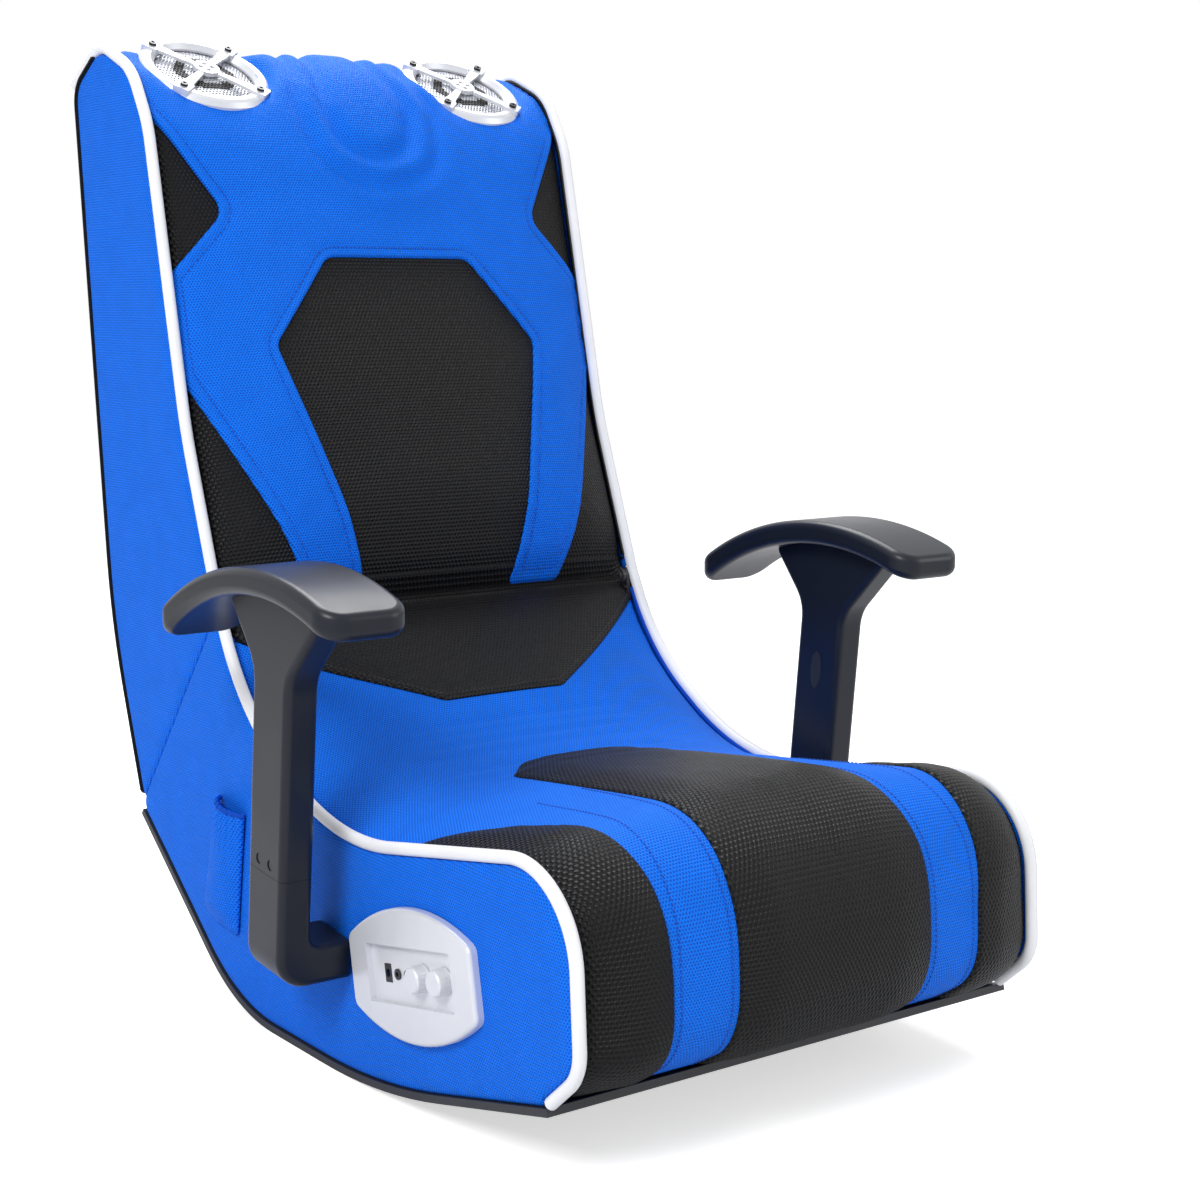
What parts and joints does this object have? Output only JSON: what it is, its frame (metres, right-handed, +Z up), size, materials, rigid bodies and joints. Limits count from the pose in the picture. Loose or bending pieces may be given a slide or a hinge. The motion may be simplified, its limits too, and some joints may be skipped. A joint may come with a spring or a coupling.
{
  "type": "gaming rocker chair",
  "caption": "Legless floor rocker chair with a folding padded back, speakers in the headrest, armrests and an audio control panel.",
  "frame": {"origin": "on the floor under the middle of the bounding box", "axes": "+Z up; the chair faces -Y; +X is towards the sitter's left; X = 0 is the middle plane"},
  "size_m": [0.624, 0.7977, 0.8423],
  "materials": {
    "blue_mesh": "spacer mesh",
    "black_mesh": "spacer mesh",
    "black_cloth": "plain woven cloth",
    "white_vinyl": "smooth vinyl",
    "black_skid": "moulded",
    "plywood": "raw",
    "black_steel": "powder coated",
    "zinc_steel": "zinc plated",
    "silver_plastic": "satin silver",
    "silver_mesh": "perforated, painted",
    "speaker_black": "moulded",
    "charcoal_plastic": "satin moulded",
    "screw_black": "blackened",
    "socket_black": "moulded",
    "circuit_green": "circuit board",
    "clear_lens": "clear"
  },
  "bodies": {
    "seat": {"amplifier_board": "circuit_green", "arm_bolts_left": "zinc_steel", "arm_bolts_right": "zinc_steel", "arm_bracket_left": "charcoal_plastic", "arm_bracket_right": "charcoal_plastic", "arm_pad_left": "charcoal_plastic", "arm_pad_right": "charcoal_plastic", "arm_plate_left": "zinc_steel", "arm_plate_right": "zinc_steel", "arm_post_left": "charcoal_plastic", "arm_post_right": "charcoal_plastic", "arm_screws_left": "screw_black", "arm_screws_right": "screw_black", "audio_in_socket": "socket_black", "audio_out_socket": "socket_black", "bass_pot": "zinc_steel", "control_bezel": "silver_plastic", "fold_leaf_seat_left": "zinc_steel", "fold_leaf_seat_right": "zinc_steel", "fold_pin_left": "zinc_steel", "fold_pin_right": "zinc_steel", "power_light": "clear_lens", "power_socket": "socket_black", "rocker_base": "black_skid", "seat_board": "plywood", "seat_cushion": "blue_mesh", "seat_piping_left": "white_vinyl", "seat_piping_right": "white_vinyl", "seat_rail_front": "plywood", "seat_rail_rear": "plywood", "seat_rear_panel": "plywood", "seat_side_panel_left": "blue_mesh", "seat_side_panel_right": "blue_mesh", "side_pocket": "blue_mesh", "volume_pot": "zinc_steel"},
    "back": {"back_cushion": "black_mesh", "back_frame": "black_steel", "back_lower_panel": "plywood", "back_piping_left": "white_vinyl", "back_piping_right": "white_vinyl", "back_rail_lower": "plywood", "back_rail_upper": "plywood", "back_rear_cover": "black_cloth", "back_side_panel_left": "blue_mesh", "back_side_panel_right": "blue_mesh", "fold_leaf_back_left": "zinc_steel", "fold_leaf_back_right": "zinc_steel", "speaker_board": "plywood", "speaker_driver_left": "speaker_black", "speaker_driver_right": "speaker_black", "speaker_grille_left": "silver_mesh", "speaker_grille_right": "silver_mesh", "speaker_ring_left": "silver_plastic", "speaker_ring_right": "silver_plastic", "speaker_screws_left": "screw_black", "speaker_screws_right": "screw_black"},
    "volume_knob": {"volume_knob": "silver_plastic"},
    "bass_knob": {"bass_knob": "silver_plastic"}
  },
  "joints": [
    {"name": "back_fold", "type": "hinge", "parent": "seat", "child": "back", "pos_m": [0, 0.14, 0.341], "axis": [1, 0, 0], "range_deg": [0, 90]},
    {"name": "volume_knob_turn", "type": "hinge", "parent": "seat", "child": "volume_knob", "pos_m": [-0.225, -0.20177, 0.11455], "axis": [-1, 0, 0], "range_deg": [-150, 150]},
    {"name": "bass_knob_turn", "type": "hinge", "parent": "seat", "child": "bass_knob", "pos_m": [-0.225, -0.23126, 0.12002], "axis": [-1, 0, 0], "range_deg": [-150, 150]}
  ]
}
